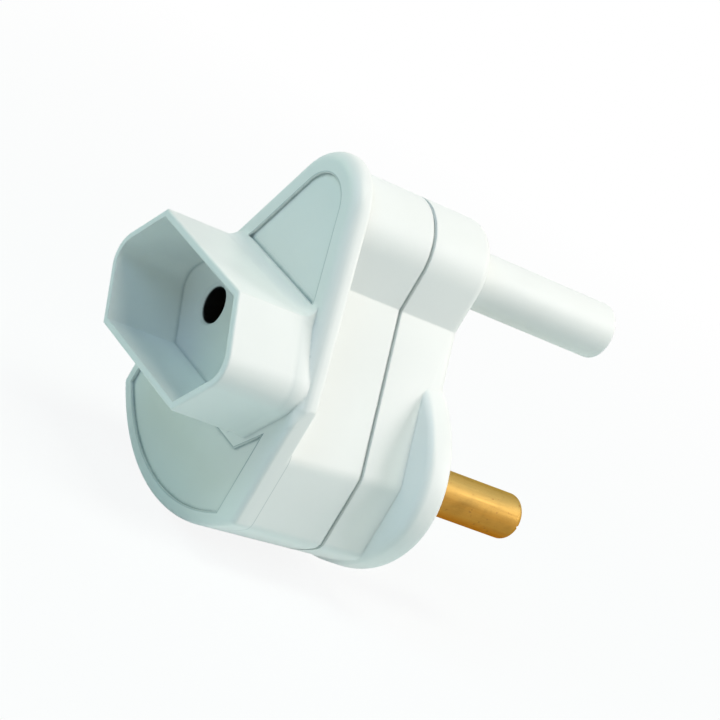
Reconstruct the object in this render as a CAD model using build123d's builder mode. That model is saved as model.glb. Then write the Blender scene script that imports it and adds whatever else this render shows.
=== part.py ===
from build123d import *
import os
from math import asin, atan2, cos, degrees, hypot, radians, sin, sqrt, tan

os.makedirs("parts", exist_ok=True)

# Plug adapter: a two pin socket in a long hexagonal shroud, on a plug with three round pins.
# The origin is on the flat rear face, midway between the two current pins.
# X runs to the line pin, Y runs out along the pins and Z runs up to the earth pin.
# A depth is a distance in front of the rear face, so it lies at Y = -depth.

# Pins
pin_gap = 25.4
pin_r = 3.53
pin_reach = 22.5
pin_tip_round = 1.6
pin_slit = 0.5
pin_slit_depth = 0.9
earth_rise = 28.6
earth_r = 4.355
earth_reach = 28.6
earth_tip_round = 0.8
root_step = 0.35
root_reach = 0.5
pin_clearance = 0.08

# Casing: outline of the body behind the face plate
tongue_r = 8.36
tongue_rise = 28.2
tongue_foot = 22.1
tongue_foot_round = 0.3
flank_angle = 30.0
shoulder_round = 3.5
side_front = 21.5
side_rear = 20.4
base_drop = 19.45
base_drop_rear = 17.65
base_r = 34.0
base_round = 2.2
rear_round = 1.8

# Casing: depths and walls
casing_depth = 27.2
seam_depth = 11.43
seam_gap = 0.6
seam_groove = 0.55
wall = 2.2
rear_wall = 3.0
front_wall = 2.5
lip_wall = 1.0
lip_height = 1.5
lip_clearance = 0.1

# Face plate, which stands proud of the tongue and flanks as an ear
plate_thick = 3.2
plate_rise = 28.7
plate_top_r = 9.4
plate_flank_angle = 27.0
ear_round = 2.0
ear_back_round = 0.65
plate_round = 0.8
plate_base_round = 1.0

# Bare label panels sunk in the face plate
panel_sink = 0.45
upper_border = 3.7
upper_foot = 18.8
lower_border = 2.1
lower_left = 19.4
lower_right = 16.8
lower_notch_x = 12.3
lower_notch_rise = 0.2
lower_top = -4.5

# Socket shroud, a hexagon with two rounded ends
shroud_rise = 7.73
shroud_depth = 40.2
shroud_flat = 13.45
shroud_half_height = 9.7
shroud_tip = 21.5
shroud_tip_round = 4.5
shroud_corner_round = 1.2
shroud_wall = 1.1
shroud_flare = 2.3
shroud_flare_margin = 0.1
shroud_rim_round = 0.3
recess_floor = 3.3

# Two contact sleeves behind the entry holes
socket_gap = 19.0
entry_r = 2.75
entry_chamfer = 0.5
sleeve_bore_r = 2.05
sleeve_wall = 0.75
sleeve_slot = 0.6
sleeve_slot_length = 12.5
sleeve_mouth = 0.35
sleeve_setback = 1.2
sleeve_seat_r = 1.85
sleeve_seat = 1.0
sleeve_foot_r = 3.4
sleeve_foot = 0.8
pocket_clearance = 0.5
pocket_wall = 1.1
pocket_length = 10.5
clip_wall = 0.5
clip_width = 4.0
clip_opening = 70.0
clip_setback = 2.5
clip_clearance = 0.05

# Conductors behind the rear wall
collar_r = 4.8
collar = 3.0
tail_r = 2.0
peen_r = 2.9
peen = 1.2
strap = 1.0
strap_width = 8.0
rivet_r = 1.0
rivet_head_r = 1.7
rivet_head = 0.8
hole_clearance = 0.06
seat_wall = 1.2
seat_clearance = 0.15

# Earth pin head, held between the two shells
earth_head_r = 5.6
earth_head = 3.0
earth_post_r = 4.0
earth_post_bore = 2.6
earth_head_clearance = 0.1

# Two case screws on the centre line
screw_low = -10.0
screw_high = 14.0
screw_r = 1.4
screw_length = 17.0
screw_head_r = 2.7
screw_head = 2.0
screw_cross = 0.8
screw_cross_depth = 1.2
screw_sink = 5.0
screw_clearance = 0.25
post_wall = 1.2
boss_r = 3.25
rib_wall = 1.2

# Finger guard round the current pins
guard_reach = 5.5
guard_half_height = 17.35
guard_drop = 0.75
guard_thick = 4.2
guard_flare = 2.6
guard_front_round = 1.2
guard_round = 0.8
guard_sink = 0.05

# Derived places
side_slope = (side_front - side_rear) / casing_depth
base_slope = (base_drop - base_drop_rear) / casing_depth
front_inside = casing_depth - front_wall
recess_floor_depth = front_inside + recess_floor
collar_depth = rear_wall + collar
strap_depth = collar_depth + strap
foot_depth = strap_depth + sleeve_foot
sleeve_r = sleeve_bore_r + sleeve_wall
seat_depth = foot_depth + sleeve_seat
sleeve_front = front_inside - sleeve_setback
pocket_r = sleeve_r + clip_wall + pocket_clearance
pin_places = {"line": pin_gap / 2, "neutral": -pin_gap / 2}
socket_places = {"line": socket_gap / 2, "neutral": -socket_gap / 2}
plate_shoulder = (
    plate_rise
    + plate_top_r / sin(radians(plate_flank_angle))
    - side_front / tan(radians(plate_flank_angle))
)
pin_centres = [(x, 0) for x in pin_places.values()]
socket_centres = [(x, shroud_rise) for x in socket_places.values()]
screw_places = [(0, screw_low), (0, screw_high)]


# How near an edge must lie to a place to be picked there
tolerance = 0.01


def upright(depth):
    """Plane facing the front, that far in front of the rear face."""
    return Plane.XZ.offset(depth)


def side_at(depth):
    """Half width of the drafted sides at a depth."""
    return side_rear + side_slope * depth


def base_drop_at(depth):
    """Lowest reach of the drafted base at a depth."""
    return base_drop_rear + base_slope * depth


def base_at(x, drop):
    """Height of the curved base at a distance from the middle."""
    return base_r - drop - sqrt(base_r**2 - x**2)


def base_arc(half_width, drop):
    """Right half of the curved base, from the middle out."""
    return CenterArc((0, base_r - drop), base_r, -90, degrees(asin(half_width / base_r)))


def body_outline(half_width, drop, inset=0.0, rounded=True):
    """Tongue, flanks, sides and curved base, seen from the front."""
    shoulder = tongue_foot - (half_width - tongue_r) / tan(radians(flank_angle))
    side_foot = base_at(half_width, drop)
    with BuildSketch() as outline:
        with BuildLine():
            CenterArc((0, tongue_rise), tongue_r, 0, 90)
            Polyline(
                (tongue_r, tongue_rise),
                (tongue_r, tongue_foot),
                (half_width, shoulder),
                (half_width, side_foot),
            )
            base_arc(half_width, drop)
            Line((0, -drop), (0, tongue_rise + tongue_r))
        make_face()
        mirror(about=Plane.YZ)
        corners = outline.vertices()
        fillet(corners.filter_by(lambda v: abs(v.Y - tongue_foot) < tolerance), tongue_foot_round)
        if rounded:
            fillet(corners.filter_by(lambda v: abs(v.Y - shoulder) < tolerance), shoulder_round)
            fillet(corners.filter_by(lambda v: abs(v.Y - side_foot) < tolerance), base_round)
        if inset:
            offset(amount=-inset)
    return outline.sketch


def plate_outline(inset=0.0, drop=base_drop):
    """Round top, straight flanks and sides, and the same curved base as the body."""
    lean = radians(plate_flank_angle)
    flank_top = (plate_top_r * cos(lean), plate_rise + plate_top_r * sin(lean))
    flank_foot = (side_front, plate_shoulder)
    with BuildSketch() as outline:
        with BuildLine():
            CenterArc((0, plate_rise), plate_top_r, plate_flank_angle, 90 - plate_flank_angle)
            Polyline(flank_top, flank_foot, (side_front, base_at(side_front, drop)))
            base_arc(side_front, drop)
            Line((0, -drop), (0, plate_rise + plate_top_r))
        make_face()
        mirror(about=Plane.YZ)
        if inset:
            offset(amount=-inset)
    return outline.sketch


def shroud_outline(inset=0.0):
    """Long hexagon with rounded ends, about the middle of the socket."""
    with BuildSketch() as outline:
        with Locations((0, shroud_rise)):
            Polygon(
                (shroud_tip, 0),
                (shroud_flat, shroud_half_height),
                (-shroud_flat, shroud_half_height),
                (-shroud_tip, 0),
                (-shroud_flat, -shroud_half_height),
                (shroud_flat, -shroud_half_height),
                align=None,
            )
        corners = outline.vertices().group_by(Axis.Y)
        fillet(corners[1], shroud_tip_round)
        fillet(corners[0] + corners[2], shroud_corner_round)
        if inset:
            offset(amount=-inset)
    return outline.sketch


def casing_form():
    """Outside of both shells in one, without shroud and finger guard."""
    draft_side = [
        (side_front, -casing_depth),
        (side_front + side_rear, -casing_depth),
        (side_front + side_rear, 0),
        (side_rear, 0),
    ]
    with BuildPart() as draft:
        with BuildSketch(Plane.XY):
            Polygon(*draft_side, align=None)
            mirror(about=Plane.YZ)
        extrude(amount=2 * plate_rise, both=True)
        # The base rises towards the rear
        with BuildSketch(upright(casing_depth)):
            with Locations((0, base_r - base_drop)):
                Rectangle(6 * side_front, 2 * base_r, align=(Align.CENTER, Align.MAX))
                Circle(base_r, mode=Mode.SUBTRACT)
        extrude(amount=2 * casing_depth, dir=(0, 1, base_slope))
    spare_drop = base_drop + plate_thick
    with BuildPart() as plate:
        with BuildSketch(upright(casing_depth)):
            add(plate_outline(drop=spare_drop))
        extrude(amount=-plate_thick)
        add(draft.part, mode=Mode.SUBTRACT)
        side_edges = plate.edges().filter_by(lambda e: abs(e.center().X) > side_rear)
        base_edges = side_edges.filter_by(lambda e: plate_thick * 0.5 < e.length < plate_thick * 1.5)
        fillet(base_edges.filter_by(lambda e: e.center().Z < 0), plate_base_round)
        front_edges = plate.faces().sort_by(Axis.Y)[0].edges()
        fillet(front_edges.filter_by(lambda e: e.center().Z > plate_shoulder), ear_round)
        front_edges = plate.faces().sort_by(Axis.Y)[0].edges()
        fillet(front_edges.filter_by(lambda e: e.center().Z < plate_shoulder), plate_round)
        back_edges = plate.faces().sort_by(Axis.Y)[-1].edges()
        fillet(back_edges.filter_by(lambda e: e.center().Z > plate_shoulder), ear_back_round)
    with BuildPart() as form:
        with BuildSketch(upright(0)):
            add(body_outline(side_front, spare_drop, rounded=False))
        extrude(amount=front_inside)
        add(draft.part, mode=Mode.SUBTRACT)
        long_edges = form.edges().filter_by(lambda e: e.length > front_inside * 0.9).sort_by(Axis.X)
        for corner in (long_edges[:2].sort_by(Axis.Z), long_edges[-2:].sort_by(Axis.Z)):
            fillet(corner[-1], shoulder_round)
            fillet(corner[0], base_round)
        fillet(form.faces().sort_by(Axis.Y)[-1].edges(), rear_round)
        add(plate.part)
    return form.part


def guard_outline(inset=0.0):
    """Oval of the finger guard, a little below the current pins' middle."""
    with BuildSketch() as outline:
        with Locations((0, -guard_drop)):
            Ellipse(side_rear + guard_reach - inset, guard_half_height - inset)
    return outline.sketch


def finger_guard():
    """Oval flange round the current pins, with a hollow curve where it meets the body."""
    blend_depth = guard_thick + guard_flare
    middle_depth = guard_thick + guard_flare / 2
    slab_width = 8 * side_rear
    with BuildPart() as blend:
        with BuildSketch(upright(guard_round)):
            add(body_outline(side_at(middle_depth), base_drop_at(middle_depth), guard_sink))
        extrude(amount=blend_depth)
        with BuildSketch(upright(guard_thick)):
            Rectangle(slab_width, slab_width)
        extrude(amount=guard_round - guard_thick)
        roots = blend.edges().filter_by(lambda e: abs(e.center().Y + guard_thick) < tolerance)
        fillet(roots.filter_by(lambda e: e.length < slab_width / 2), guard_flare)
    with BuildPart() as limit:
        with BuildSketch(upright(guard_round)):
            add(guard_outline(guard_front_round))
        extrude(amount=guard_thick - guard_round)
        with BuildSketch(upright(guard_thick)):
            add(guard_outline(guard_front_round))
        with BuildSketch(upright(blend_depth)):
            add(guard_outline(guard_front_round + guard_flare))
        loft()
    with BuildPart() as guard:
        with BuildSketch(upright(0)):
            add(guard_outline())
        extrude(amount=guard_thick)
        fillet(guard.faces().sort_by(Axis.Y)[0].edges(), guard_front_round)
        fillet(guard.faces().sort_by(Axis.Y)[-1].edges(), guard_round)
    with BuildPart() as joined:
        add(blend.part)
        add(limit.part, mode=Mode.INTERSECT)
        add(guard.part)
    return joined.part


def shroud_form():
    """Socket shroud on its hollow flare, trimmed to the outline of the face plate."""
    root_depth = casing_depth - plate_round
    slab_width = 6 * side_front
    with BuildPart() as shroud:
        with BuildSketch(upright(root_depth)):
            Rectangle(slab_width, slab_width)
        extrude(amount=plate_round)
        with BuildSketch(upright(root_depth)):
            add(shroud_outline())
        extrude(amount=shroud_depth - root_depth)
        roots = shroud.edges().filter_by(lambda e: abs(e.center().Y + casing_depth) < tolerance)
        fillet(roots.filter_by(lambda e: e.length < slab_width / 2), shroud_flare)
        with BuildSketch(upright(root_depth)):
            add(shroud_outline(shroud_flare_margin - shroud_flare))
            add(plate_outline(), mode=Mode.INTERSECT)
        extrude(amount=shroud_depth - root_depth, mode=Mode.INTERSECT)
        fillet(shroud.faces().sort_by(Axis.Y)[0].edges(), shroud_rim_round)
    return shroud.part


def label_panels():
    """Two shallow sinks for labels, above and below the shroud."""
    with BuildPart() as panels:
        with BuildSketch(upright(casing_depth - panel_sink)):
            add(plate_outline(upper_border))
            with Locations((0, upper_foot)):
                Rectangle(
                    4 * side_front,
                    4 * side_front,
                    align=(Align.CENTER, Align.MAX),
                    mode=Mode.SUBTRACT,
                )
        extrude(amount=2 * panel_sink)
        with BuildSketch(upright(casing_depth - panel_sink)):
            add(plate_outline(lower_border))
            Polygon(
                (lower_right, -casing_depth),
                (lower_right, lower_notch_rise),
                (lower_notch_x, lower_top),
                (-lower_notch_x, lower_top),
                (-lower_left, lower_top + lower_left - lower_notch_x),
                (-lower_left, -casing_depth),
                align=None,
                mode=Mode.INTERSECT,
            )
        extrude(amount=2 * panel_sink)
    return panels.part


casing = casing_form()
cavity_outline = body_outline(side_rear, base_drop_rear, wall)
lip_outline = body_outline(side_rear, base_drop_rear, wall - lip_wall)
rebate_outline = body_outline(side_rear, base_drop_rear, wall - lip_wall - lip_clearance)
groove_outline = body_outline(side_at(seam_depth), base_drop_at(seam_depth), seam_groove)

# Front shell: face plate, socket shroud and the front half of the body
with BuildPart() as front_shell:
    add(casing)
    split(bisect_by=upright(seam_depth), keep=Keep.TOP)
    add(label_panels(), mode=Mode.SUBTRACT)
    add(shroud_form())
    with BuildSketch(upright(recess_floor_depth)):
        add(shroud_outline(shroud_wall))
    extrude(amount=shroud_depth - recess_floor_depth, mode=Mode.SUBTRACT)
    with BuildSketch(upright(seam_depth)):
        add(cavity_outline)
    extrude(amount=front_inside - seam_depth, mode=Mode.SUBTRACT)
    with BuildSketch(upright(seam_depth)):
        add(rebate_outline)
    extrude(amount=lip_height + lip_clearance, mode=Mode.SUBTRACT)
    with BuildSketch(upright(seam_depth)):
        Rectangle(4 * side_front, 4 * plate_rise)
        add(groove_outline, mode=Mode.SUBTRACT)
    extrude(amount=seam_gap / 2, mode=Mode.SUBTRACT)
    # Pockets for the contact sleeves, screw bosses, dividing rib and earth pin post
    with BuildSketch(upright(front_inside)):
        with Locations(*socket_centres):
            Circle(pocket_r + pocket_wall)
    extrude(amount=-pocket_length)
    with BuildSketch(upright(front_inside)):
        with Locations(*screw_places):
            Circle(boss_r)
        with Locations((0, screw_low)):
            Rectangle(rib_wall, screw_high - screw_low, align=(Align.CENTER, Align.MIN))
    extrude(amount=seam_depth - front_inside)
    with BuildSketch(upright(front_inside)):
        with Locations((0, earth_rise)):
            Circle(earth_post_r)
            Circle(earth_post_bore, mode=Mode.SUBTRACT)
    extrude(amount=rear_wall + earth_head + earth_head_clearance - front_inside)
    with BuildSketch(upright(front_inside)):
        with Locations(*socket_centres):
            Circle(pocket_r)
    extrude(amount=-pocket_length, mode=Mode.SUBTRACT)
    # Entry holes in the recess floor and screw holes in the bosses
    with BuildSketch(upright(front_inside)):
        with Locations(*socket_centres):
            Circle(entry_r)
    extrude(amount=recess_floor_depth - front_inside, mode=Mode.SUBTRACT)
    entries = front_shell.edges().filter_by(GeomType.CIRCLE)
    entries = entries.filter_by(lambda e: abs(e.radius - entry_r) < tolerance)
    chamfer(entries.sort_by(Axis.Y)[:2], entry_chamfer)
    with BuildSketch(upright(seam_depth)):
        with Locations(*screw_places):
            Circle(screw_r + hole_clearance)
    extrude(amount=screw_sink + screw_length - seam_depth + screw_clearance, mode=Mode.SUBTRACT)
front_shell.part.label = "front_shell"
export_step(front_shell.part, "parts/front_shell.step")

# Rear shell: engagement face, finger guard and the rear half of the body
post_r = screw_head_r + screw_clearance + post_wall
with BuildPart() as rear_shell:
    add(casing)
    split(bisect_by=upright(seam_depth), keep=Keep.BOTTOM)
    add(finger_guard())
    with BuildSketch(upright(rear_wall)):
        add(cavity_outline)
    extrude(amount=seam_depth - rear_wall, mode=Mode.SUBTRACT)
    with BuildSketch(upright(seam_depth)):
        Rectangle(4 * side_front, 4 * plate_rise)
        add(groove_outline, mode=Mode.SUBTRACT)
    extrude(amount=-seam_gap / 2, mode=Mode.SUBTRACT)
    # Lip that enters the front shell
    with BuildSketch(upright(seam_depth)):
        add(lip_outline)
        add(cavity_outline, mode=Mode.SUBTRACT)
    extrude(amount=lip_height)
    # Seats round the pin collars, screw posts and dividing rib
    with BuildSketch(upright(rear_wall)):
        with Locations(*pin_centres):
            Circle(collar_r + seat_clearance + seat_wall)
        add(cavity_outline, mode=Mode.INTERSECT)
        with Locations(*pin_centres):
            Circle(collar_r + seat_clearance, mode=Mode.SUBTRACT)
    extrude(amount=collar)
    with BuildSketch(upright(rear_wall)):
        with Locations(*screw_places):
            Circle(post_r)
        with Locations((0, screw_low)):
            Rectangle(rib_wall, screw_high - screw_low, align=(Align.CENTER, Align.MIN))
    extrude(amount=seam_depth - rear_wall)
    # Pin holes and sunk screw holes
    with BuildSketch(upright(0)):
        with Locations(*pin_centres):
            Circle(pin_r + root_step + pin_clearance)
        with Locations((0, earth_rise)):
            Circle(earth_r + root_step + pin_clearance)
    extrude(amount=rear_wall, mode=Mode.SUBTRACT)
    with BuildSketch(upright(0)):
        with Locations(*screw_places):
            Circle(screw_head_r + screw_clearance)
    extrude(amount=screw_sink, mode=Mode.SUBTRACT)
    with BuildSketch(upright(screw_sink)):
        with Locations(*screw_places):
            Circle(screw_r + screw_clearance)
    extrude(amount=seam_depth - screw_sink, mode=Mode.SUBTRACT)
rear_shell.part.label = "rear_shell"
export_step(rear_shell.part, "parts/rear_shell.step")

# Earth pin: a moulded dummy whose head is held between the shells
with BuildPart() as earth_pin:
    with BuildSketch(upright(rear_wall)):
        with Locations((0, earth_rise)):
            Circle(earth_head_r)
    extrude(amount=earth_head)
    with BuildSketch(upright(rear_wall)):
        with Locations((0, earth_rise)):
            Circle(earth_r + root_step)
    extrude(amount=-rear_wall - root_reach)
    with BuildSketch(upright(rear_wall)):
        with Locations((0, earth_rise)):
            Circle(earth_r)
    extrude(amount=-rear_wall - earth_reach)
    fillet(earth_pin.faces().sort_by(Axis.Y)[-1].edges(), earth_tip_round)
earth_pin.part.label = "earth_pin"
export_step(earth_pin.part, "parts/earth_pin.step")

for side, x in pin_places.items():
    # Current pin: domed and slit tip, stepped root, collar behind the rear wall, peened tail
    with BuildPart() as pin:
        with BuildSketch(Plane.YZ.offset(x)):
            with BuildLine():
                Polyline(
                    (-strap_depth - peen, 0),
                    (-strap_depth - peen, peen_r / 2),
                    (-strap_depth - peen / 2, peen_r),
                    (-strap_depth, peen_r),
                    (-strap_depth, tail_r),
                    (-collar_depth, tail_r),
                    (-collar_depth, collar_r),
                    (-rear_wall, collar_r),
                    (-rear_wall, pin_r + root_step),
                    (root_reach, pin_r + root_step),
                    (root_reach, pin_r),
                    (pin_reach, pin_r),
                    (pin_reach, 0),
                    close=True,
                )
            make_face()
        revolve(axis=Axis((x, 0, 0), (0, 1, 0)))
        fillet(pin.faces().sort_by(Axis.Y)[-1].edges(), pin_tip_round)
        with BuildSketch(upright(-pin_reach)):
            with Locations((x, 0)):
                Rectangle(2.2 * pin_r, pin_slit)
        extrude(amount=pin_slit_depth, mode=Mode.SUBTRACT)
    pin.part.label = side + "_pin"
    export_step(pin.part, "parts/" + side + "_pin.step")

for side, x in socket_places.items():
    pin_x = pin_places[side]
    run = hypot(pin_x - x, shroud_rise)
    lean = degrees(atan2(shroud_rise, x - pin_x))
    # Strap from the pin tail to the contact
    with BuildPart() as strip:
        with BuildSketch(upright(collar_depth)):
            with Locations(((x + pin_x) / 2, shroud_rise / 2)):
                SlotCenterToCenter(run, strap_width, rotation=lean)
            with Locations((pin_x, 0)):
                Circle(tail_r + hole_clearance, mode=Mode.SUBTRACT)
            with Locations((x, shroud_rise)):
                Circle(rivet_r + hole_clearance, mode=Mode.SUBTRACT)
        extrude(amount=strap)
    strip.part.label = side + "_strap"
    export_step(strip.part, "parts/" + side + "_strap.step")

    # Contact: a split sleeve on a round foot
    with BuildPart() as contact:
        with BuildSketch(upright(strap_depth)):
            with Locations((x, shroud_rise)):
                Circle(sleeve_foot_r)
        extrude(amount=sleeve_foot)
        with BuildSketch(upright(foot_depth)):
            with Locations((x, shroud_rise)):
                Circle(sleeve_r)
        extrude(amount=sleeve_front - foot_depth)
        with BuildSketch(upright(seat_depth)):
            with Locations((x, shroud_rise)):
                Circle(sleeve_bore_r)
        extrude(amount=sleeve_front - seat_depth, mode=Mode.SUBTRACT)
        with BuildSketch(upright(foot_depth)):
            with Locations((x, shroud_rise)):
                Circle(sleeve_seat_r)
        extrude(amount=sleeve_seat, mode=Mode.SUBTRACT)
        mouth = contact.faces().sort_by(Axis.Y)[0].edges().filter_by(GeomType.CIRCLE)
        chamfer(mouth.sort_by(SortBy.RADIUS)[0], sleeve_mouth)
        with BuildSketch(upright(sleeve_front - sleeve_slot_length)):
            with Locations((x, shroud_rise)):
                Rectangle(sleeve_slot, 4 * sleeve_r)
        extrude(amount=sleeve_slot_length, mode=Mode.SUBTRACT)
        with BuildSketch(upright(strap_depth)):
            with Locations((x, shroud_rise)):
                Circle(rivet_r + hole_clearance)
        extrude(amount=sleeve_foot, mode=Mode.SUBTRACT)
    contact.part.label = side + "_contact"
    export_step(contact.part, "parts/" + side + "_contact.step")

    # Steel clip round the sleeve
    clip_inside = sleeve_r + clip_clearance
    clip_outside = clip_inside + clip_wall
    edge_x = 2 * clip_outside * cos(radians(clip_opening / 2))
    edge_y = 2 * clip_outside * sin(radians(clip_opening / 2))
    outward = 1 if x > 0 else -1
    with BuildPart() as clip:
        with BuildSketch(upright(sleeve_front - clip_setback - clip_width)):
            with Locations((x, shroud_rise)):
                Circle(clip_outside)
                Circle(clip_inside, mode=Mode.SUBTRACT)
                Polygon(
                    (0, 0),
                    (outward * edge_x, edge_y),
                    (outward * edge_x, -edge_y),
                    align=None,
                    mode=Mode.SUBTRACT,
                )
        extrude(amount=clip_width)
    clip.part.label = side + "_spring"
    export_step(clip.part, "parts/" + side + "_spring.step")

# Rivets that hold the contacts to the straps
with BuildPart() as contact_rivets:
    for x in socket_places.values():
        with BuildSketch(upright(collar_depth - rivet_head)):
            with Locations((x, shroud_rise)):
                Circle(rivet_head_r)
        extrude(amount=rivet_head)
        with BuildSketch(upright(collar_depth)):
            with Locations((x, shroud_rise)):
                Circle(rivet_r)
        extrude(amount=foot_depth - collar_depth)
        with BuildSketch(upright(foot_depth)):
            with Locations((x, shroud_rise)):
                Circle(rivet_head_r)
        extrude(amount=rivet_head)
contact_rivets.part.label = "contact_rivets"
export_step(contact_rivets.part, "parts/contact_rivets.step")

# Case screws with crossed slots in their heads
with BuildPart() as case_screws:
    with BuildSketch(upright(screw_sink - screw_head)):
        with Locations(*screw_places):
            Circle(screw_head_r)
    extrude(amount=screw_head)
    with BuildSketch(upright(screw_sink)):
        with Locations(*screw_places):
            Circle(screw_r)
    extrude(amount=screw_length)
    with BuildSketch(upright(screw_sink - screw_head)):
        with Locations(*screw_places):
            Rectangle(screw_cross, 1.3 * screw_head_r)
            Rectangle(1.3 * screw_head_r, screw_cross)
    extrude(amount=screw_cross_depth, mode=Mode.SUBTRACT)
case_screws.part.label = "case_screws"
export_step(case_screws.part, "parts/case_screws.step")
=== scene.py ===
import math

import bmesh
import bpy
import numpy as np
from bpy.props import FloatProperty, FloatVectorProperty, PointerProperty
from bpy.types import Operator, Panel, PropertyGroup
from mathutils import Matrix, Vector


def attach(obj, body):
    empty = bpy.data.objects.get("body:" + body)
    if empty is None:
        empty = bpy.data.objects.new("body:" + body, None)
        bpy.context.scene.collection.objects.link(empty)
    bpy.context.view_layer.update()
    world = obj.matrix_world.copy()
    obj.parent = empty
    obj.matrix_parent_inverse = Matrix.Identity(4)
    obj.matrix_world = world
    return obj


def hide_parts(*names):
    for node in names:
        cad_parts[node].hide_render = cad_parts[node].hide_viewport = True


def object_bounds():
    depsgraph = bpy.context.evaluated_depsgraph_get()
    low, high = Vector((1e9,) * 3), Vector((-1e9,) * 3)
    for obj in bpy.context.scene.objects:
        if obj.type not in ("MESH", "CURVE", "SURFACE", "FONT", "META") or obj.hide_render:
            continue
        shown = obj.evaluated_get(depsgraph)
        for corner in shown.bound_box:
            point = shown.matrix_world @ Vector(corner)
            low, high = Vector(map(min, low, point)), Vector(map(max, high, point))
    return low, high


bl_info = {
    "name": "Plug adapter",
    "version": (1, 0, 0),
    "blender": (4, 5, 0),
    "location": "View3D > Sidebar > Adapter",
    "description": "Dresses a moulded plug adapter with two socket holes and three round pins",
    "category": "Object",
}

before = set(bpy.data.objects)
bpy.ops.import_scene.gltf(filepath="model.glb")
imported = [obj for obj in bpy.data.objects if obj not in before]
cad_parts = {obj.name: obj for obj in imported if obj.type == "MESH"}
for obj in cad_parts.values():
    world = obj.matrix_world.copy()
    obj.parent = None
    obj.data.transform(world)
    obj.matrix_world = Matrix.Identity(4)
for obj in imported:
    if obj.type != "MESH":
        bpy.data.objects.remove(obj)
cad_box = [list(corner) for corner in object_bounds()]

MM = 0.001

# The camera: its place in metres, and where the right and the foot of its picture and its view point
CAMERA_PLACE = (0.3391134, -0.2538033, 0.1076114)
CAMERA_RIGHT = (0.41278256, 0.76274903, 0.49781971)
CAMERA_DOWN = (0.45707255, 0.29929017, -0.83756198)
CAMERA_FORWARD = (-0.78784214, 0.57327071, -0.22508988)
SENSOR_WIDTH_MM = 36.0
CLIP_START = 0.01

# The studio, in metres
FLOOR_SIZE = 6.0
FLOOR_COLOUR = (0.66, 0.80, 0.80)
FLOOR_ROUGHNESS = 0.9
LAMP_TARGET = (0.0, -0.01, 0.01)
KEY_PLACE = (0.233, 0.0, 0.889)
BACK_PLACE = (0.35, 0.65, 0.45)
FRONT_PLACE = (0.0, -0.636, 0.656)
LEFT_PLACE = (-0.627, -0.627, 0.176)
LAMP_SIZE = 0.5
SHADOW_REACH = 0.10
WHITE_REACH = 0.40

# All sizes below are in millimetres. A depth is a distance in front of the flat rear face.

# Places on the pieces that their finish follows, as the solids have them
ENTRY_X = 9.5
ENTRY_Z = 7.73
ENTRY_RADIUS = 2.75
POCKET_RADIUS = 3.8
POCKET_DEPTH = 24.7
PLATE_BACK_DEPTH = 24.0
PIN_RADIUS = 3.53
SEAM_DEPTH = 11.43
RECESS_DEPTH = 28.0

# The face plate, as the solids have it
PLATE_DEPTH = 27.2
PLATE_SIDE = 21.5
EAR_RISE = 28.7
EAR_RADIUS = 9.4
EAR_LEAN = math.radians(27.0)
EAR_ROUND = 2.0
SIDE_ROUND = 0.8
EAR_FOOT = EAR_RISE + EAR_RADIUS / math.sin(EAR_LEAN) - PLATE_SIDE / math.tan(EAR_LEAN)
BASE_RADIUS = 34.0
BASE_DROP = 19.45
BASE_CENTRE = BASE_RADIUS - BASE_DROP
PANEL_FLOOR = 26.75
UPPER_BORDER = 3.7
UPPER_FOOT = 18.8
LOWER_BORDER = 2.1
LOWER_RIGHT = 16.8
LOWER_LEFT = 19.4
LOWER_TOP = -4.5
NOTCH_X = 12.3
NOTCH_RISE = 0.2
NOTCH_SLOPE = (NOTCH_RISE - LOWER_TOP) / (LOWER_RIGHT - NOTCH_X)

# The shroud's outline about its middle
SHROUD_RISE = 7.73
SHROUD_HALF_HEIGHT = 9.7
SHROUD_FLAT = 13.45
SHROUD_TIP = 21.5
TIP_ROUND = 4.5

# The cuts that free the face plate at the shroud's foot: how far they stay off its surfaces, how
# high they reach, and how much of the flare they leave at the slanted faces and add elsewhere
PLATE_CLEAR = 0.015
PANEL_CLEAR = 0.02
FLOOR_CLEAR = 0.01
TRIM_HEIGHT = 3.0
TRIM_REACH = 6.0
TRIM_BACK = 0.3
EDGE_BLEND = 3.0
EDGE_MARGIN = 0.1
FLARE_LEFT = 0.15
FLARE_KEPT = 2.6
UPPER_TURN = (27.0, 40.0)
LOWER_TURN = (40.0, 60.0)

# Surface detail of the mouldings; scales are in features per metre
CLOUD_SCALE = 60.0
GLOSS_SCALE = 180.0
# The painted shade in creases follows occlusion within a reach, its edge made uneven by noise
PAINTED_SHADE_NOISE_SCALE = 700.0
PAINTED_SHADE_REACH = 0.9
EDGE_REACH = 0.35
EDGE_ROUND = 0.35
EDGE_LIGHT = 0.5
EDGE_POLISH = 0.08
WITNESS_WIDTH = 0.10
WITNESS_SHARE = 0.45
GRAIN_STRENGTH = 0.22
GRAIN_HEIGHT = 0.03
PLASTIC_IOR = 1.49
NO_LIGHT = (0.004, 0.004, 0.004)
EARTH_PIN_WEAR = 1.15

# Painted shade as a dark line round the label panels, in full near the notch and fainter elsewhere
PANEL_SHADE_WIDTH = 0.32
PANEL_SHADE_BAND = 0.15
NOTCH_NEAR = 4.6
NOTCH_FAR = 9.0
FAINT_PANEL_SHADE = 0.6

# Where painted shade lies in creases and corners: a depth, the distances from it where it is full
# and gone, and its share
PAINTED_SHADE_BANDS = (
    (SEAM_DEPTH, 0.7, 1.0, 0.65),
    (PANEL_FLOOR, 0.3, 0.5, 0.75),
    (RECESS_DEPTH, 0.5, 1.2, 0.35),
)

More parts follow.
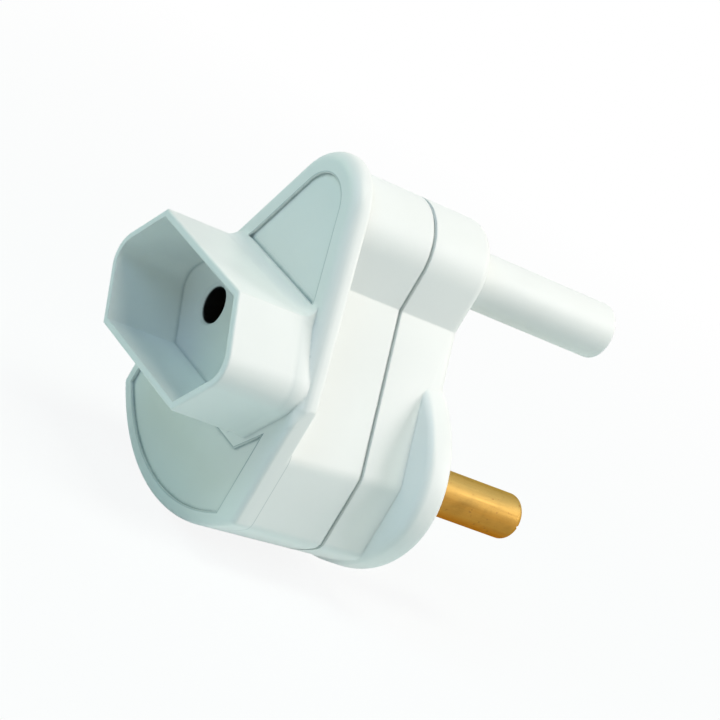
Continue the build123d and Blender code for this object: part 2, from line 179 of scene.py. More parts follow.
# Surface detail of the metals; scales are in features per metre
RING_SCALES = (60.0, 9000.0, 60.0)
STREAK_SCALES = (1600.0, 40.0, 1600.0)
TARNISH_SCALE = 240.0
SPECK_SCALE = 1500.0
SCRATCH_SCALES = (900.0, 3000.0, 900.0)
METAL_RELIEF = 0.01
# A painted sheen on the upper side of the pins
TOP_SHEEN_BRASS = (0.34, 0.27, 0.10)
SPECK_COLOUR = (0.25, 0.12, 0.04)
BRASS_GLANCE = (0.80, 0.55, 0.25, 1.0)
# Painted shade that tints the lower side of the pins, and none for the inner brass
LOW_SIDE_SHADE = (1.0, 0.66, 0.34)
NO_LOW_SIDE_SHADE = (1.0, 1.0, 1.0)
# The inner brass is a darker copy of the pin brass: painted shade for parts inside the shells
INNER_BRASS_SHADE = 0.3
INNER_BRASS_ROUGHNESS = 0.5

# The part of its range that a noise pattern mostly fills
NOISE_LOW, NOISE_HIGH = 0.3, 0.7

# Merging and shading of the meshes
WELD_DISTANCE = 0.002
SMOOTH_ANGLE = math.radians(35.0)
TINY = 1e-6


def colour_property(name, description, default):
    """Property that holds a linear colour."""
    return FloatVectorProperty(
        name=name, description=description, subtype="COLOR", size=3, min=0, max=1, default=default,
    )


def share_property(name, description, default):
    """Property that holds a share from 0 to 1."""
    return FloatProperty(
        name=name, description=description, subtype="FACTOR", min=0, max=1, default=default,
    )


def power_property(name, description, default):
    """Property that holds a lamp's power in watts."""
    return FloatProperty(name=name, description=description, unit="POWER", default=default)


class AdapterFinish(PropertyGroup):
    """Colours and surface grades of the plastic and the metals."""

    shell_colour: colour_property("Shell colour", "White of the moulded shells", (0.86, 0.89, 0.87))
    shell_roughness: share_property("Shell roughness", "Satin of the moulded shells", 0.42)
    # Painted shade in grooves, corners and round the label panels, and the tone of the witness line
    shade_and_witness_colour: colour_property(
        "Crease colour", "Grime and shade that settle in grooves and corners", (0.26, 0.36, 0.37),
    )
    grain_size: FloatProperty(
        name="Grain size", description="Width of one grain of the moulded texture", unit="LENGTH",
        default=0.35 * MM,
    )
    brass_colour: colour_property("Brass colour", "Clean brass of the current pins", (0.45, 0.25, 0.05))
    brass_roughness: share_property("Brass roughness", "Polish of the current pins", 0.56)
    steel_colour: colour_property("Steel colour", "Plated steel of screws and clips", (0.58, 0.58, 0.57))


class AdapterStudio(PropertyGroup):
    """Camera, lamps, room light and floor."""

    lens: FloatProperty(
        name="Lens", description="Focal length on a 36 mm sensor, in millimetres", default=147.12,
    )
    key_power: power_property("Key lamp", "Power of the lamp high over the object", 4.9)
    key_colour: colour_property("Key colour", "Warm white of the key lamp", (1.0, 0.965, 0.84))
    back_power: power_property("Back lamp", "Power of the lamp behind the pins", 3.85)
    back_colour: colour_property("Back colour", "Warm white of the back lamp", (1.0, 0.92, 0.92))
    front_power: power_property("Front lamp", "Power of the lamp high in front", 2.0)
    front_colour: colour_property("Front colour", "Cool white of the front lamp", (0.50, 0.77, 1.0))
    left_power: power_property("Left lamp", "Power of the low lamp on the left", 1.2)
    left_colour: colour_property("Left colour", "Cool white of the left lamp", (0.65, 1.0, 0.62))
    room_level: FloatProperty(
        name="Room level", description="Strength of the light from all round", default=0.10,
    )
    room_colour: colour_property("Room colour", "Cool light from all round", (0.72, 0.82, 1.0))
    floor_white: share_property(
        "Floor white", "Share of plain white in the floor near the object, the rest shows shadow", 0.9,
    )


# Nodes


def new_material(name):
    """An empty material with an output and a shader; returns the material, its tree and the shader."""
    material = bpy.data.materials.new(name)
    material.use_nodes = True
    tree = material.node_tree
    return material, tree, tree.nodes["Principled BSDF"]


def object_coordinates(tree, scale=(1.0, 1.0, 1.0)):
    """Object coordinates in metres, stretched by a scale."""
    source = tree.nodes.new("ShaderNodeTexCoord")
    mapping = tree.nodes.new("ShaderNodeMapping")
    mapping.inputs["Scale"].default_value = scale
    tree.links.new(source.outputs["Object"], mapping.inputs["Vector"])
    return mapping.outputs["Vector"]


def split_place(tree, unit):
    """X, Y and Z of a place on a piece, in a unit that is given in metres."""
    node = tree.nodes.new("ShaderNodeSeparateXYZ")
    scale = 1.0 / unit
    tree.links.new(object_coordinates(tree, (scale, scale, scale)), node.inputs["Vector"])
    return node.outputs["X"], node.outputs["Y"], node.outputs["Z"]


def noise(tree, vector, scale, detail=3.0, roughness=0.5):
    """Smooth random pattern from 0 to 1."""
    node = tree.nodes.new("ShaderNodeTexNoise")
    node.inputs["Scale"].default_value = scale
    node.inputs["Detail"].default_value = detail
    node.inputs["Roughness"].default_value = roughness
    tree.links.new(vector, node.inputs["Vector"])
    return node.outputs["Fac"]


def ramp(tree, factor, stops):
    """Colour that runs through stops, each a place from 0 to 1 and a colour."""
    node = tree.nodes.new("ShaderNodeValToRGB")
    elements = node.color_ramp.elements
    while len(elements) < len(stops):
        elements.new(0.5)
    for element, (place, colour) in zip(elements, stops):
        element.position = place
        element.color = (*colour, 1.0)
    tree.links.new(factor, node.inputs["Fac"])
    return node.outputs["Color"]


def map_range(tree, value, low, high, to_low, to_high):
    """A value carried in proportion from one range to another, and held at its ends."""
    node = tree.nodes.new("ShaderNodeMapRange")
    for name, number in (("From Min", low), ("From Max", high), ("To Min", to_low), ("To Max", to_high)):
        node.inputs[name].default_value = number
    tree.links.new(value, node.inputs["Value"])
    return node.outputs["Result"]


def varied(tree, pattern, low, high):
    """A value that follows a noise pattern between two numbers."""
    return map_range(tree, pattern, NOISE_LOW, NOISE_HIGH, low, high)


def bump(tree, shader, height, strength, distance):
    """Relief on a shader from a height pattern; the distance is in millimetres."""
    node = tree.nodes.new("ShaderNodeBump")
    node.inputs["Strength"].default_value = strength
    node.inputs["Distance"].default_value = distance * MM
    tree.links.new(height, node.inputs["Height"])
    tree.links.new(node.outputs["Normal"], shader.inputs["Normal"])
    return node


def tinted(colour, factor):
    """A colour times a factor, no channel above 1."""
    return tuple(min(1.0, channel * factor) for channel in colour)


def calculate(tree, operation, first, second=0.0):
    """Result of a Math node on two sockets or numbers."""
    node = tree.nodes.new("ShaderNodeMath")
    node.operation = operation
    for socket, value in zip(node.inputs, (first, second)):
        if isinstance(value, (int, float)):
            socket.default_value = value
        else:
            tree.links.new(value, socket)
    return node.outputs["Value"]


def greatest(tree, first, *others):
    """The greatest of some sockets or numbers."""
    for other in others:
        first = calculate(tree, "MAXIMUM", first, other)
    return first


def weighted(tree, first, first_weight, second, second_weight):
    """Sum of two values, each times its weight."""
    return calculate(
        tree, "ADD",
        calculate(tree, "MULTIPLY", first, first_weight),
        calculate(tree, "MULTIPLY", second, second_weight),
    )


def length_of(tree, first, second):
    """Root of the sum of two squares."""
    return calculate(tree, "SQRT", weighted(tree, first, first, second, second))


def apart(tree, value, level):
    """How far a value lies from a level, either way."""
    return calculate(tree, "ABSOLUTE", calculate(tree, "SUBTRACT", value, level))


def near_depth(tree, y, depth, full, none, share):
    """A share at places within one distance of a depth, and nothing from another distance on."""
    return map_range(tree, apart(tree, y, -depth), full, none, share, 0.0)


def mixed(tree, blend, factor, first, second):
    """Two colours mixed by a factor, each a socket or a plain colour."""
    node = tree.nodes.new("ShaderNodeMix")
    node.data_type = "RGBA"
    node.blend_type = blend
    for socket, value in zip((node.inputs[0], node.inputs[6], node.inputs[7]), (factor, first, second)):
        if isinstance(value, (int, float)):
            socket.default_value = value
        elif isinstance(value, tuple):
            socket.default_value = (*value, 1.0)
        else:
            tree.links.new(value, socket)
    return node.outputs[2]


def openness(tree, reach, inside):
    """How open a place is: low in grooves and corners, or seen from inside, low along raised edges."""
    node = tree.nodes.new("ShaderNodeAmbientOcclusion")
    node.samples = 8
    node.inside = inside
    node.only_local = True
    node.inputs["Distance"].default_value = reach * MM
    return node.outputs["AO"]


# Materials


def entry_shade(tree, x, y, z):
    """1 on the walls of the two entry holes and of the pockets behind them, 0 elsewhere."""
    across = calculate(tree, "SUBTRACT", calculate(tree, "ABSOLUTE", x), ENTRY_X)
    radius = length_of(tree, across, calculate(tree, "SUBTRACT", z, ENTRY_Z))
    hole = map_range(tree, radius, ENTRY_RADIUS + 0.02, ENTRY_RADIUS + 0.2, 1.0, 0.0)
    pocket = map_range(tree, radius, POCKET_RADIUS + 0.1, POCKET_RADIUS + 0.2, 1.0, 0.0)
    behind = calculate(tree, "GREATER_THAN", y, -POCKET_DEPTH - 0.1)
    both = greatest(tree, hole, calculate(tree, "MULTIPLY", pocket, behind))
    return calculate(tree, "MULTIPLY", both, calculate(tree, "LESS_THAN", y, -0.5 * POCKET_DEPTH))


def plate_distance(tree, x, z):
    """How far a place lies outside the round top and straight flanks of the face plate."""
    across = calculate(tree, "ABSOLUTE", x)
    up = calculate(tree, "SUBTRACT", z, EAR_RISE)
    lean_cos, lean_sin = math.cos(EAR_LEAN), math.sin(EAR_LEAN)
    flank = weighted(tree, across, lean_cos, up, lean_sin)
    above = calculate(tree, "GREATER_THAN", weighted(tree, up, lean_cos, across, -lean_sin), 0.0)
    beside = calculate(tree, "SUBTRACT", 1.0, above)
    reach = weighted(tree, above, length_of(tree, across, up), beside, flank)
    return calculate(tree, "SUBTRACT", reach, EAR_RADIUS)


def painted_panel_shade(tree, x, y, z):
    """Strength of the painted shade line just outside the edges of the two label panels.

    A place lies outside a panel by the greatest of its distances past the panel's edges.
    """
    mirrored = calculate(tree, "MULTIPLY", x, -1.0)
    past_upper = greatest(
        tree,
        calculate(tree, "ADD", plate_distance(tree, x, z), UPPER_BORDER),
        calculate(tree, "SUBTRACT", UPPER_FOOT, z),
    )
    right_rise = calculate(tree, "MULTIPLY", calculate(tree, "SUBTRACT", x, NOTCH_X), NOTCH_SLOPE)
    left_rise = calculate(tree, "SUBTRACT", mirrored, NOTCH_X)
    top = calculate(tree, "ADD", greatest(tree, right_rise, left_rise, 0.0), LOWER_TOP)
    from_centre = length_of(tree, x, calculate(tree, "SUBTRACT", z, BASE_CENTRE))
    past_lower = greatest(
        tree,
        calculate(tree, "SUBTRACT", z, top),
        calculate(tree, "SUBTRACT", from_centre, BASE_RADIUS - LOWER_BORDER),
        calculate(tree, "SUBTRACT", x, LOWER_RIGHT),
        calculate(tree, "SUBTRACT", mirrored, LOWER_LEFT),
    )
    nearest = calculate(tree, "MINIMUM", past_upper, past_lower)
    off_middle = apart(tree, nearest, 0.4 * PANEL_SHADE_WIDTH)
    # Painted shade along the panel edges
    line = map_range(tree, off_middle, 0.1 * PANEL_SHADE_WIDTH, 0.6 * PANEL_SHADE_WIDTH, 1.0, 0.0)
    by_notch = map_range(tree, apart(tree, z, 0.0), NOTCH_NEAR, NOTCH_FAR, 1.0, FAINT_PANEL_SHADE)
    on_face = calculate(tree, "LESS_THAN", apart(tree, y, -PLATE_DEPTH), PANEL_SHADE_BAND)
    return calculate(tree, "MULTIPLY", calculate(tree, "MULTIPLY", line, by_notch), on_face)


def plastic_material(name, finish, roughness):
    """Moulded plastic with faint clouds of colour, a satin gloss that varies and a fine grain.

    Edges are rubbed smooth and light. Painted shade darkens the seam and the corners of panels
    and recess, and a painted shade line runs round the label panels. A witness line marks where
    the face plate's mould half ends, and the walls of the entry holes and pockets are painted
    near black as shade.
    """
    material, tree, shader = new_material(name)
    colour, shade_and_witness = tuple(finish.shell_colour), tuple(finish.shade_and_witness_colour)
    place = object_coordinates(tree)
    x, y, z = split_place(tree, MM)

    clouds = noise(tree, place, CLOUD_SCALE, 4.0)
    shade = ramp(tree, clouds, [(NOISE_LOW, tinted(colour, 0.975)), (NOISE_HIGH, tinted(colour, 1.01))])
    # Painted shade: occlusion darkens the seam, the panel corners and the recess floor, and a dark line runs
    # round the panels
    uneven = varied(tree, noise(tree, place, PAINTED_SHADE_NOISE_SCALE), -0.05, 0.05)
    crevice = calculate(tree, "ADD", openness(tree, PAINTED_SHADE_REACH, False), uneven)
    in_shade_bands = greatest(tree, *(near_depth(tree, y, *band) for band in PAINTED_SHADE_BANDS))
    painted_shade = calculate(tree, "MULTIPLY", map_range(tree, crevice, 0.5, 0.86, 1.0, 0.0), in_shade_bands)
    shade = mixed(tree, "MIX", greatest(tree, painted_shade, painted_panel_shade(tree, x, y, z)), shade, shade_and_witness)
    edge = map_range(tree, openness(tree, EDGE_REACH, True), 0.6, 0.9, 1.0, 0.0)
    rubbed = calculate(tree, "MULTIPLY", edge, EDGE_LIGHT)
    shade = mixed(tree, "MIX", rubbed, shade, tinted(colour, 1.05))
    witness = near_depth(tree, y, PLATE_BACK_DEPTH, 0.0, WITNESS_WIDTH, 1.0)
    marked = calculate(tree, "MULTIPLY", witness, WITNESS_SHARE)
    shade = mixed(tree, "MULTIPLY", marked, shade, shade_and_witness)
    shade = mixed(tree, "MIX", entry_shade(tree, x, y, z), shade, NO_LIGHT)
    tree.links.new(shade, shader.inputs["Base Color"])

    gloss = varied(tree, noise(tree, place, GLOSS_SCALE, 2.0), roughness - 0.04, roughness + 0.05)
    polish = calculate(tree, "MULTIPLY", edge, EDGE_POLISH)
    tree.links.new(calculate(tree, "SUBTRACT", gloss, polish), shader.inputs["Roughness"])
    shader.inputs["IOR"].default_value = PLASTIC_IOR

    height = calculate(tree, "SUBTRACT", noise(tree, place, 1.0 / finish.grain_size, 2.0), witness)
    relief = bump(tree, shader, height, GRAIN_STRENGTH, GRAIN_HEIGHT)
    rounded = tree.nodes.new("ShaderNodeBevel")
    rounded.samples = 4
    rounded.inputs["Radius"].default_value = EDGE_ROUND * MM
    tree.links.new(rounded.outputs["Normal"], relief.inputs["Normal"])
    return material


def turned_brass(name, colour, roughness, low_side_shade):
    """Turned brass with rings from the tool round the Y axis, streaks of use along it and specks.

    Tarnish varies at random. A painted sheen pales the upper side and painted shade deepens the
    lower side by a tint.
    """
    material, tree, shader = new_material(name)
    place = object_coordinates(tree)
    height = split_place(tree, MM)[2]

    tarnish = noise(tree, place, TARNISH_SCALE, 5.0, 0.62)
    shade = ramp(tree, tarnish, [(0.30, tinted(colour, 0.72)), (0.5, colour), (0.72, tinted(colour, 1.12))])
    # Painted shade darkens the lower side and a painted sheen pales the upper side
    depth = map_range(tree, height, -0.35 * PIN_RADIUS, -0.95 * PIN_RADIUS, 0.0, 1.0)
    shade = mixed(tree, "MULTIPLY", depth, shade, low_side_shade)
    top_sheen = map_range(tree, height, 0.1 * PIN_RADIUS, 0.8 * PIN_RADIUS, 0.0, 0.7)
    shade = mixed(tree, "MIX", top_sheen, shade, TOP_SHEEN_BRASS)
    specks = map_range(tree, noise(tree, place, SPECK_SCALE, 2.0), 0.66, 0.72, 0.0, 0.6)
    shade = mixed(tree, "MIX", specks, shade, SPECK_COLOUR)
    tree.links.new(shade, shader.inputs["Base Color"])

    streaks = noise(tree, object_coordinates(tree, STREAK_SCALES), 1.0, 4.0)
    tree.links.new(varied(tree, streaks, roughness - 0.08, roughness + 0.14), shader.inputs["Roughness"])
    shader.inputs["Metallic"].default_value = 1.0
    shader.inputs["Specular Tint"].default_value = BRASS_GLANCE
    rings = noise(tree, object_coordinates(tree, RING_SCALES), 1.0, 2.0)
    bump(tree, shader, rings, 0.25, METAL_RELIEF)
    return material


def plated_steel(name, colour):
    """Zinc plated steel with fine scratches every way."""
    material, tree, shader = new_material(name)
    scratches = noise(tree, object_coordinates(tree, SCRATCH_SCALES), 1.0, 4.0)
    shade = ramp(tree, scratches, [(NOISE_LOW, tinted(colour, 0.85)), (NOISE_HIGH, tinted(colour, 1.1))])
    tree.links.new(shade, shader.inputs["Base Color"])
    shader.inputs["Metallic"].default_value = 1.0
    tree.links.new(varied(tree, scratches, 0.28, 0.42), shader.inputs["Roughness"])
    bump(tree, shader, scratches, 0.2, METAL_RELIEF)
    return material


# Pieces


def weld(piece):
    """Merges the doubled points of a piece's mesh."""
    merge = piece.modifiers.new("Weld", "WELD")
    merge.merge_threshold = WELD_DISTANCE * MM


def finish_piece(piece, material):
    """Gives a piece one material and smooth shading between its sharp edges."""
    piece.data.materials.clear()
    piece.data.materials.append(material)
    piece.data.polygons.foreach_set("use_smooth", np.ones(len(piece.data.polygons), bool))
    split = piece.modifiers.new("Sharp edges", "EDGE_SPLIT")
    split.split_angle = SMOOTH_ANGLE


def dress(node, material):
    """Gives a frame piece its finish."""
    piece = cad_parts[node]
    weld(piece)
    finish_piece(piece, material)


def stand(name, points, faces):
    """Puts a mesh of points in millimetres into the scene, with its faces pointing outwards."""
    mesh = bpy.data.meshes.new(name)
    mesh.from_pydata((points * MM).tolist(), [], faces)
    form = bmesh.new()
    form.from_mesh(mesh)
    bmesh.ops.recalc_face_normals(form, faces=form.faces)
    form.to_mesh(mesh)
    form.free()
    piece = bpy.data.objects.new(name, mesh)
    bpy.context.scene.collection.objects.link(piece)
    return piece


def closed_strip(name, rings):
    """Closed ring of a form; each row of the array is one section, joined to the next in both ways."""
    count, size = rings.shape[:2]
    index = np.arange(count * size).reshape(count, size)
    beside = np.roll(index, -1, axis=1)
    after = np.roll(index, -1, axis=0)
    corner = np.roll(beside, -1, axis=0)
    faces = np.stack([index, beside, corner, after], axis=-1).reshape(-1, 4)
    return stand(name, rings.reshape(-1, 3), faces.tolist())


def prism(name, outline, back, front):
    """A flat outline carried along Y from one depth to another."""
    count = len(outline)
    points = np.concatenate([
        np.stack([outline[:, 0], np.full(count, -depth), outline[:, 1]], axis=1) for depth in (back, front)
    ])
    first = np.arange(count)
    after = np.roll(first, -1)
    sides = np.stack([first, after, after + count, first + count], axis=1).tolist()
    return stand(name, points, sides + [first[::-1].tolist(), (first + count).tolist()])


def plate_radius(turn, inset):
    """Distance from the shroud's middle to the face plate's outline, less an inset, at each angle.

    The least of the distances to the sides, to the leaning flanks and to the round base.
    """
    across, up = np.abs(np.cos(turn)), np.sin(turn)
    lean_cos, lean_sin = math.cos(EAR_LEAN), math.sin(EAR_LEAN)
    side = (PLATE_SIDE - inset) / np.maximum(across, TINY)
    facing = np.maximum(across * lean_cos + up * lean_sin, TINY)
    flank = (EAR_RADIUS - inset + (EAR_RISE - SHROUD_RISE) * lean_sin) / facing
    offset = SHROUD_RISE - BASE_CENTRE
    toward = up * offset
    base = -toward + np.sqrt(toward**2 - offset**2 + (BASE_RADIUS - inset) ** 2)
    return np.minimum(np.minimum(side, flank), base)


def shroud_radius(turn, margin):
    """Distance from the shroud's middle to its rounded hexagon, plus a margin, at each angle.

    The lesser of the distances to the slanted and level faces, or the distance to the rounded tip.
    """
    across, up = np.abs(np.cos(turn)), np.abs(np.sin(turn))
    length = math.hypot(SHROUD_HALF_HEIGHT, SHROUD_TIP - SHROUD_FLAT)
    face_x, face_z = SHROUD_HALF_HEIGHT / length, (SHROUD_TIP - SHROUD_FLAT) / length
    slant = (SHROUD_TIP * face_x + margin) / (face_x * across + face_z * up)
    level = (SHROUD_HALF_HEIGHT + margin) / np.maximum(up, TINY)
    middle = SHROUD_TIP - TIP_ROUND / face_x
    round_tip = TIP_ROUND + margin
    tip = middle * across + np.sqrt(np.maximum(round_tip**2 - (middle * up) ** 2, 0.0))
    in_tip = up * (middle + round_tip * face_x) < across * round_tip * face_z
    return np.where(in_tip, tip, np.minimum(slant, level))


def blend_share(value, low, high):
    """0 below a low value, 1 above a high one and a smooth step between them."""
    share = np.clip((value - low) / (high - low), 0.0, 1.0)
    return share * share * (3 - 2 * share)


def foot_trim():
    """Ring that cuts the shroud's flare back at its slanted faces and follows the plate's rounded edge.

    At each angle round the shroud's middle the section starts outside the plate, follows the
    quarter round of the plate's front edge, runs inwards just in front of the plate to the
    shroud's wall plus a margin, and rises along the wall. The margin is thin at the slanted
    faces and wider than the flare above and below.
    """
    turn = np.linspace(0.0, 2 * np.pi, 720, endpoint=False)
    steep = np.degrees(np.arctan2(np.abs(np.sin(turn)), np.abs(np.cos(turn))))
    share = np.where(np.sin(turn) > 0, blend_share(steep, *UPPER_TURN), blend_share(steep, *LOWER_TURN))
    height = SHROUD_RISE + plate_radius(turn, 0.0) * np.sin(turn)
    edge = SIDE_ROUND + (EAR_ROUND - SIDE_ROUND) * blend_share(height, EAR_FOOT - EDGE_BLEND, EAR_FOOT)
    flat_edge = np.maximum(plate_radius(turn, edge + EDGE_MARGIN), shroud_radius(turn, FLARE_LEFT))
    wall = np.minimum(shroud_radius(turn, FLARE_LEFT + FLARE_KEPT * share), flat_edge)
    section = []
    for step in np.linspace(0.0, np.pi / 2, 9):
        inset = edge * (1 - math.cos(step)) - PLATE_CLEAR * math.cos(step)
        depth = PLATE_DEPTH - edge * (1 - math.sin(step)) + PLATE_CLEAR * math.sin(step)
        section.append((np.maximum(plate_radius(turn, inset), wall), depth))
    level = np.full(len(turn), PLATE_DEPTH + PLATE_CLEAR)
    behind = np.full(len(turn), PLATE_DEPTH - EAR_ROUND - TRIM_BACK)
    far = plate_radius(turn, 0.0) + TRIM_REACH
    near = np.maximum(plate_radius(turn, -PLATE_CLEAR), wall)
    section += [
        (wall, level), (wall, level + TRIM_HEIGHT), (far, level + TRIM_HEIGHT), (far, behind), (near, behind),
    ]
    rings = np.stack([
        np.stack([radius * np.cos(turn), -depth, SHROUD_RISE + radius * np.sin(turn)], axis=1)
        for radius, depth in section
    ], axis=1)
    return closed_strip("foot_trim", rings)


def upper_panel_outline(inset):
    """Round top, straight flanks and level foot of the upper label panel."""
    radius = EAR_RADIUS - UPPER_BORDER - inset
    turn = np.linspace(EAR_LEAN, math.pi - EAR_LEAN, 33)
    foot = UPPER_FOOT + inset
    reach = (radius - (foot - EAR_RISE) * math.sin(EAR_LEAN)) / math.cos(EAR_LEAN)
    top = np.stack([radius * np.cos(turn), EAR_RISE + radius * np.sin(turn)], axis=1)
    return np.concatenate([[(reach, foot)], top, [(-reach, foot)]])


def lower_panel_outline(inset):
    """Notched top, straight sides and round base of the lower label panel."""
    radius = BASE_RADIUS - LOWER_BORDER - inset
    right, left, top = LOWER_RIGHT - inset, -LOWER_LEFT + inset, LOWER_TOP - inset
    x = np.linspace(left, right, 49)
    base = np.stack([x, BASE_CENTRE - np.sqrt(radius**2 - x**2)], axis=1)
    notch = [
        (right, NOTCH_RISE - inset), (NOTCH_X, top), (-NOTCH_X, top), (left, top - left - NOTCH_X),
    ]
    return np.concatenate([base, notch])


def panel_trim(name, outline):
    """Block over a label panel that frees it of the flare, down to just above its floor."""
    return prism(name, outline, PANEL_FLOOR + FLOOR_CLEAR, PLATE_DEPTH + TRIM_HEIGHT)


def trimmed_copy(node, name, cutters):
    """Copy of a frame piece, merged, with other forms cut out of it; the cutters are used up."""
    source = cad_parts[node]
    piece = bpy.data.objects.new(name, source.data.copy())
    bpy.context.scene.collection.objects.link(piece)
    weld(piece)
    for cutter in cutters:
        cut = piece.modifiers.new("Cut", "BOOLEAN")
        cut.operation = "DIFFERENCE"
        cut.solver = "EXACT"
        cut.object = cutter
    bpy.context.view_layer.update()
    shape = bpy.data.meshes.new_from_object(piece.evaluated_get(bpy.context.evaluated_depsgraph_get()))
    if len(shape.polygons) < len(source.data.polygons) // 2:
        raise RuntimeError(name + ": the cut left too little of " + node)
    piece.modifiers.clear()
    piece.data = shape
    shape.name = name
    for cutter in cutters:
        bpy.data.objects.remove(cutter)
    return piece


class ADAPTER_OT_shells(Operator):
    """Dress the two moulded shells"""

    bl_idname = "adapter.shells"
    bl_label = "Shells"

    def execute(self, context):
        finish = context.scene.adapter_finish
        white = plastic_material("satin_white_moulding", finish, finish.shell_roughness)
        dress("rear_shell", white)
        front = trimmed_copy("front_shell", "front_moulding", [
            foot_trim(),
            panel_trim("upper_trim", upper_panel_outline(PANEL_CLEAR)),
            panel_trim("lower_trim", lower_panel_outline(PANEL_CLEAR)),
        ])
        finish_piece(front, white)
        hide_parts("front_shell")
        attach(front, "root")
        return {"FINISHED"}


class ADAPTER_OT_earth_pin(Operator):
    """Dress the moulded earth pin"""

    bl_idname = "adapter.earth_pin"
    bl_label = "Earth pin"

    def execute(self, context):
        finish = context.scene.adapter_finish
        roughness = finish.shell_roughness * EARTH_PIN_WEAR
        dress("earth_pin", plastic_material("worn_white_moulding", finish, roughness))
        return {"FINISHED"}


class ADAPTER_OT_current_pins(Operator):
    """Dress the two turned brass pins"""

    bl_idname = "adapter.current_pins"
    bl_label = "Current pins"

    def execute(self, context):
        finish = context.scene.adapter_finish
        brass = turned_brass("turned_brass", finish.brass_colour, finish.brass_roughness, LOW_SIDE_SHADE)
        for node in ("line_pin", "neutral_pin"):
            dress(node, brass)
        return {"FINISHED"}


class ADAPTER_OT_inner_metal(Operator):
    """Dress contacts, straps, rivets, clips and screws"""

    bl_idname = "adapter.inner_metal"
    bl_label = "Inner metal"

    def execute(self, context):
        finish = context.scene.adapter_finish
        # Painted shade: the inner brass is a darker copy of the pin brass
        shaded_brass = tinted(finish.brass_colour, INNER_BRASS_SHADE)
        brass = turned_brass("shaded_pressed_brass", shaded_brass, INNER_BRASS_ROUGHNESS, NO_LOW_SIDE_SHADE)
        steel = plated_steel("plated_steel", finish.steel_colour)
        for side in ("line", "neutral"):
            dress(side + "_strap", brass)
            dress(side + "_contact", brass)
            dress(side + "_spring", steel)
        dress("contact_rivets", brass)
        dress("case_screws", steel)
        return {"FINISHED"}


# Studio


def seen_directly(tree):
    """1 for the camera's own rays and for mirrored or refracted ones, 0 for light that falls on things."""
    path = tree.nodes.new("ShaderNodeLightPath")
    kinds = ("Is Camera Ray", "Is Glossy Ray", "Is Transmission Ray")
    return greatest(tree, *(path.outputs[kind] for kind in kinds))


def white_where_seen(tree, lit, output, white_share, white_kind):
    """Mixes plain white into what the camera and reflections see of a lit surface or the world.

    The share of white is a number or a socket.
    """
    white = tree.nodes.new(white_kind)
    white.inputs["Color"].default_value = (1.0, 1.0, 1.0, 1.0)
    white.inputs["Strength"].default_value = 1.0
    share = calculate(tree, "MULTIPLY", seen_directly(tree), white_share)
    mix = tree.nodes.new("ShaderNodeMixShader")
    tree.links.new(share, mix.inputs[0])
    tree.links.new(lit, mix.inputs[1])
    tree.links.new(white.outputs[0], mix.inputs[2])
    tree.links.new(mix.outputs[0], output.inputs["Surface"])


def floor_material(name, colour, white_share):
    """Matt pale floor that shows light and shadow near the object and turns plain white farther off."""
    material, tree, shader = new_material(name)
    shader.inputs["Base Color"].default_value = (*colour, 1.0)
    shader.inputs["Roughness"].default_value = FLOOR_ROUGHNESS
    across, along, _ = split_place(tree, 1.0)
    share = map_range(tree, length_of(tree, across, along), SHADOW_REACH, WHITE_REACH, white_share, 1.0)
    white_where_seen(tree, shader.outputs[0], tree.nodes["Material Output"], share, "ShaderNodeEmission")
    return material


def area_lamp(name, place, power, colour):
    """Round lamp at a place that shines at the object."""
    data = bpy.data.lights.new(name, "AREA")
    data.shape = "DISK"
    data.size = LAMP_SIZE
    data.energy = power
    data.color = colour
    lamp = bpy.data.objects.new(name, data)
    aim = (Vector(LAMP_TARGET) - Vector(place)).to_track_quat("-Z", "Y").to_matrix().to_4x4()
    lamp.matrix_world = Matrix.Translation(place) @ aim
    bpy.context.scene.collection.objects.link(lamp)


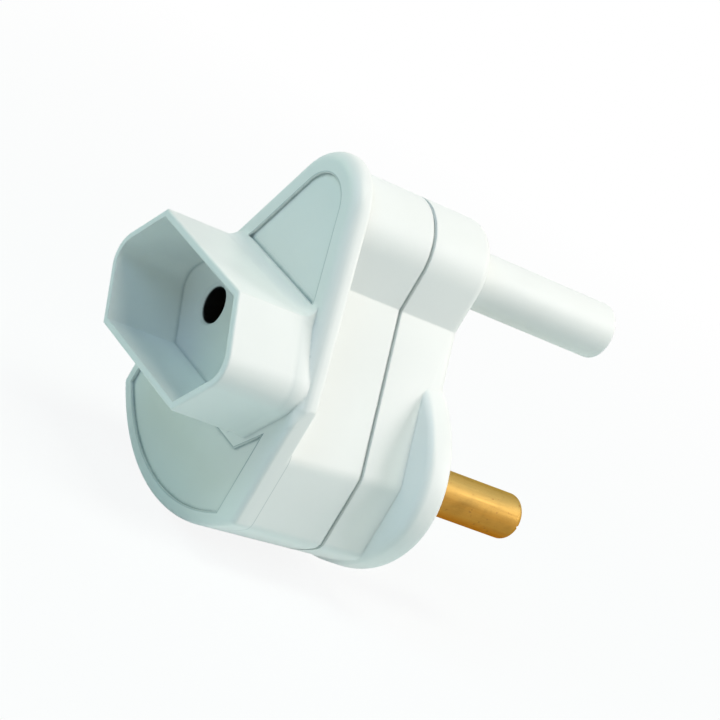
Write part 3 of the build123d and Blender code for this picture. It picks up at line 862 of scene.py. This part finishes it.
class ADAPTER_OT_studio(Operator):
    """Set up the camera, the lamps and the pale floor"""

    bl_idname = "adapter.studio"
    bl_label = "Studio"

    def execute(self, context):
        scene = context.scene
        studio = scene.adapter_studio
        camera_data = bpy.data.cameras.new("camera")
        camera_data.lens = studio.lens
        camera_data.sensor_width = SENSOR_WIDTH_MM
        camera_data.clip_start = CLIP_START
        camera = bpy.data.objects.new("camera", camera_data)
        axes = (Vector(CAMERA_RIGHT), -Vector(CAMERA_DOWN), -Vector(CAMERA_FORWARD))
        camera.matrix_world = Matrix.Translation(CAMERA_PLACE) @ Matrix(axes).transposed().to_4x4()
        scene.collection.objects.link(camera)
        scene.camera = camera

        low = Vector(cad_box[0])
        bpy.ops.mesh.primitive_plane_add(size=FLOOR_SIZE, location=(0, 0, low.z))
        floor = context.object
        floor.name = "floor"
        floor.data.materials.append(floor_material("pale_floor", FLOOR_COLOUR, studio.floor_white))

        for name, place, power, colour in (
            ("key", KEY_PLACE, studio.key_power, studio.key_colour),
            ("back", BACK_PLACE, studio.back_power, studio.back_colour),
            ("front", FRONT_PLACE, studio.front_power, studio.front_colour),
            ("left", LEFT_PLACE, studio.left_power, studio.left_colour),
        ):
            area_lamp(name, place, power, colour)

        world = bpy.data.worlds.new("studio")
        scene.world = world
        world.use_nodes = True
        tree = world.node_tree
        room = tree.nodes["Background"]
        room.inputs["Color"].default_value = (*studio.room_colour, 1.0)
        room.inputs["Strength"].default_value = studio.room_level
        white_where_seen(tree, room.outputs[0], tree.nodes["World Output"], 1.0, "ShaderNodeBackground")
        scene.view_settings.view_transform = "Standard"
        return {"FINISHED"}


class ADAPTER_PT_panel(Panel):
    """Settings and steps of the plug adapter"""

    bl_label = "Plug adapter"
    bl_idname = "ADAPTER_PT_panel"
    bl_space_type = "VIEW_3D"
    bl_region_type = "UI"
    bl_category = "Adapter"

    def draw(self, context):
        for group in (context.scene.adapter_finish, context.scene.adapter_studio):
            box = self.layout.box()
            for name in group.__annotations__:
                box.prop(group, name)
        for step in steps:
            self.layout.operator(step.bl_idname)


steps = (
    ADAPTER_OT_studio,
    ADAPTER_OT_shells,
    ADAPTER_OT_earth_pin,
    ADAPTER_OT_current_pins,
    ADAPTER_OT_inner_metal,
)
classes = (AdapterFinish, AdapterStudio, *steps, ADAPTER_PT_panel)


def register():
    for cls in classes:
        bpy.utils.register_class(cls)
    bpy.types.Scene.adapter_finish = PointerProperty(type=AdapterFinish)
    bpy.types.Scene.adapter_studio = PointerProperty(type=AdapterStudio)


def unregister():
    del bpy.types.Scene.adapter_studio
    del bpy.types.Scene.adapter_finish
    for cls in reversed(classes):
        bpy.utils.unregister_class(cls)


def main():
    register()
    bpy.ops.adapter.studio()
    bpy.ops.adapter.shells()
    bpy.ops.adapter.earth_pin()
    bpy.ops.adapter.current_pins()
    bpy.ops.adapter.inner_metal()


if __name__ == "__main__":
    main()
